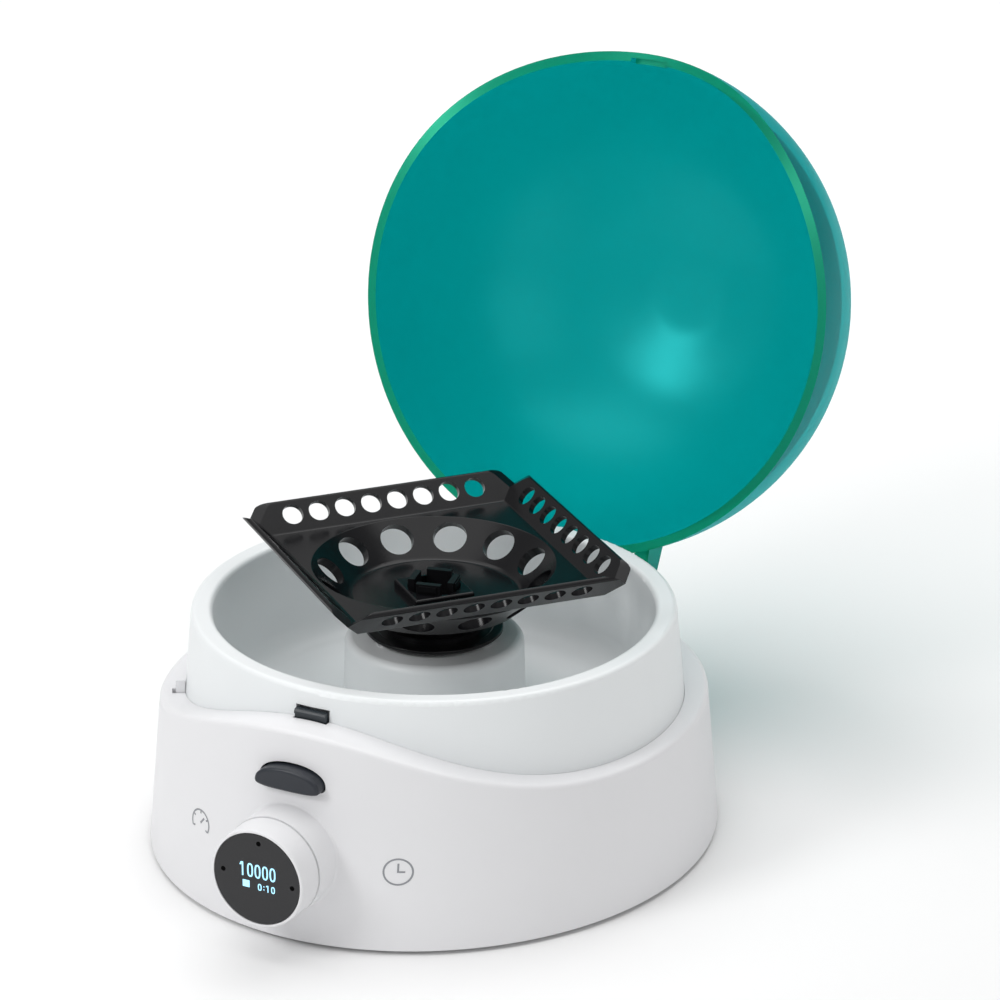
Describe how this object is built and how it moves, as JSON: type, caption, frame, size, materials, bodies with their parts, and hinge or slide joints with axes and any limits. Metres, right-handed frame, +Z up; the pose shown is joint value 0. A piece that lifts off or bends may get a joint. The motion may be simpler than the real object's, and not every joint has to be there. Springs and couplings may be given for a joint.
{
  "type": "laboratory mini centrifuge",
  "caption": "Small bench centrifuge: oval white base, tinted hinged dome lid, square rotor for strips and microtubes, turning display knob and a lid release button.",
  "frame": {"origin": "on the table plane of the four feet, under the middle of the overall box with the lid open; the rotor axis stands at y = -0.0391", "axes": "+Z up, parallel to the rotor axis; -Y towards the knob, the front; +X to the right seen from the front"},
  "size_m": [0.1796, 0.304, 0.2183],
  "materials": {
    "shell_white": "satin moulded",
    "bowl_white": "satin moulded",
    "pan_grey": "fine moulded grain",
    "foot_rubber": "matt",
    "screw_steel": "zinc plated",
    "motor_steel": "turned",
    "lamination": "stacked sheets",
    "copper_wire": "enamelled copper wire",
    "magnet": "sintered",
    "shaft_steel": "ground",
    "board_green": "solder mask",
    "chip_black": "moulded",
    "connector_nylon": "moulded",
    "inlet_black": "moulded",
    "contact_brass": "plated",
    "lid_teal": "tinted clear plastic",
    "rotor_black": "satin moulded",
    "seat_black": "moulded",
    "ring_white": "satin moulded",
    "window_black": "polished",
    "carrier_grey": "moulded",
    "panel_glass": "polished",
    "button_grey": "fine moulded grain",
    "latch_black": "moulded",
    "spring_steel": "drawn wire",
    "bracket_steel": "pressed"
  },
  "bodies": {
    "base": {"outer_shell": "shell_white", "chamber_bowl": "bowl_white", "base_pan": "pan_grey", "rubber_feet": "foot_rubber", "base_screws": "screw_steel", "motor_housing": "motor_steel", "motor_stator": "lamination", "motor_windings": "copper_wire", "motor_bearings": "shaft_steel", "motor_bracket": "bracket_steel", "motor_isolators": "foot_rubber", "motor_screws": "screw_steel", "control_board": "board_green", "board_screws": "screw_steel", "board_components": "chip_black", "board_connectors": "connector_nylon", "power_inlet": "inlet_black", "inlet_pin": "contact_brass", "hinge_pins": "shaft_steel", "encoder_board": "board_green", "press_switch": "chip_black", "knob_spring": "spring_steel", "knob_sensors": "chip_black", "latch_spring": "spring_steel", "latch_guide": "connector_nylon", "lid_switch": "chip_black", "lid_switch_bracket": "bracket_steel", "plunger_spring": "spring_steel"},
    "lid": {"lid_dome": "lid_teal"},
    "rotor_group": {"rotor": "rotor_black", "rotor_clip": "seat_black", "rotor_seat": "seat_black", "motor_shaft": "shaft_steel", "motor_magnet": "magnet"},
    "display_knob": {"knob_carrier": "carrier_grey", "display_lens": "window_black", "display_panel": "panel_glass", "display_board": "board_green"},
    "dial_ring": {"knob_ring": "ring_white"},
    "release": {"release_button": "button_grey", "latch_slider": "latch_black"},
    "lid_peg": {"lid_switch_plunger": "ring_white"}
  },
  "joints": [
    {"name": "lid_hinge", "type": "hinge", "parent": "base", "child": "lid", "pos_m": [0, 0.0529, 0.053], "axis": [1, 0, 0], "range_deg": [0, 104.5]},
    {"name": "rotor_spin", "type": "hinge", "parent": "base", "child": "rotor_group", "pos_m": [0, -0.0391, 0.07], "axis": [0, 0, 1], "continuous": true},
    {"name": "knob_press", "type": "slide", "parent": "base", "child": "display_knob", "axis": [0, 1, 0], "range_m": [0, 0.0003], "stiffness_N_per_m": 1500, "springref_m": -0.0005, "deforming": ["knob_spring"]},
    {"name": "knob_turn", "type": "hinge", "parent": "display_knob", "child": "dial_ring", "pos_m": [0, -0.1471, 0.028], "axis": [0, 1, 0], "continuous": true},
    {"name": "button_press", "type": "slide", "parent": "base", "child": "release", "axis": [0, 1, 0], "range_m": [0, 0.0018], "stiffness_N_per_m": 800, "springref_m": -0.0005, "deforming": ["latch_spring"]},
    {"name": "peg_press", "type": "slide", "parent": "base", "child": "lid_peg", "axis": [0, 0, -1], "range_m": [0, 0.0047], "deforming": ["plunger_spring"]}
  ],
  "couplings": [
    {"joint": "peg_press", "follows": "lid_hinge", "m_per_rad": 0.002576}
  ]
}
